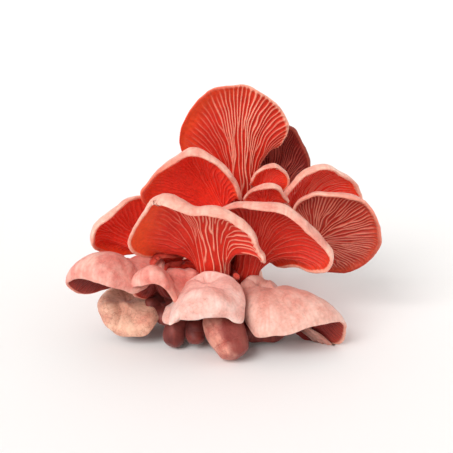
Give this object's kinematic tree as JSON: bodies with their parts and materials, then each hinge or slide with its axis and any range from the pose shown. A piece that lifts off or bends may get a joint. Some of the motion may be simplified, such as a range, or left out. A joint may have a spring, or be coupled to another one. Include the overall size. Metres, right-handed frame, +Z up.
{
  "type": "pink oyster mushroom cluster",
  "caption": "Cluster of pink oyster mushrooms on one cut base: flared caps with red gills below, pale rolled rims and smooth pale tops, with a few young finger-like stems.",
  "frame": {"origin": "centre of the bounding box in plan, on the surface that the cut base stands on", "axes": "+Z up, the side that the caps turn their gills to faces -Y, the widest spread of the caps along X"},
  "size_m": [0.1418, 0.114, 0.118],
  "materials": {
    "gill_red": "moist, soft",
    "pale_top": "dry, soft",
    "deep_red": "moist, soft",
    "base_pink": "dry, downy"
  },
  "bodies": {
    "root": {"tall_top_mushroom": "gill_red", "shaded_back_mushroom": "deep_red", "upper_small_mushroom": "gill_red", "lower_small_mushroom": "gill_red", "right_upper_mushroom": "gill_red", "right_big_mushroom": "gill_red", "upper_left_mushroom": "gill_red", "left_mushroom": "gill_red", "front_centre_mushroom": "gill_red", "centre_right_mushroom": "gill_red", "tucked_mushroom": "gill_red", "low_left_mushroom": "pale_top", "round_left_mushroom": "pale_top", "mid_left_mushroom": "pale_top", "dark_low_mushroom": "deep_red", "pale_front_mushroom": "pale_top", "low_right_mushroom": "pale_top", "shaded_low_mushroom": "deep_red", "rear_left_mushroom": "gill_red", "rear_right_mushroom": "gill_red", "rear_low_mushroom": "pale_top", "front_finger": "pale_top", "dark_finger": "deep_red", "short_finger": "deep_red", "flat_finger": "pale_top", "tiny_pin": "gill_red", "cut_base": "base_pink"}
  },
  "joints": []
}
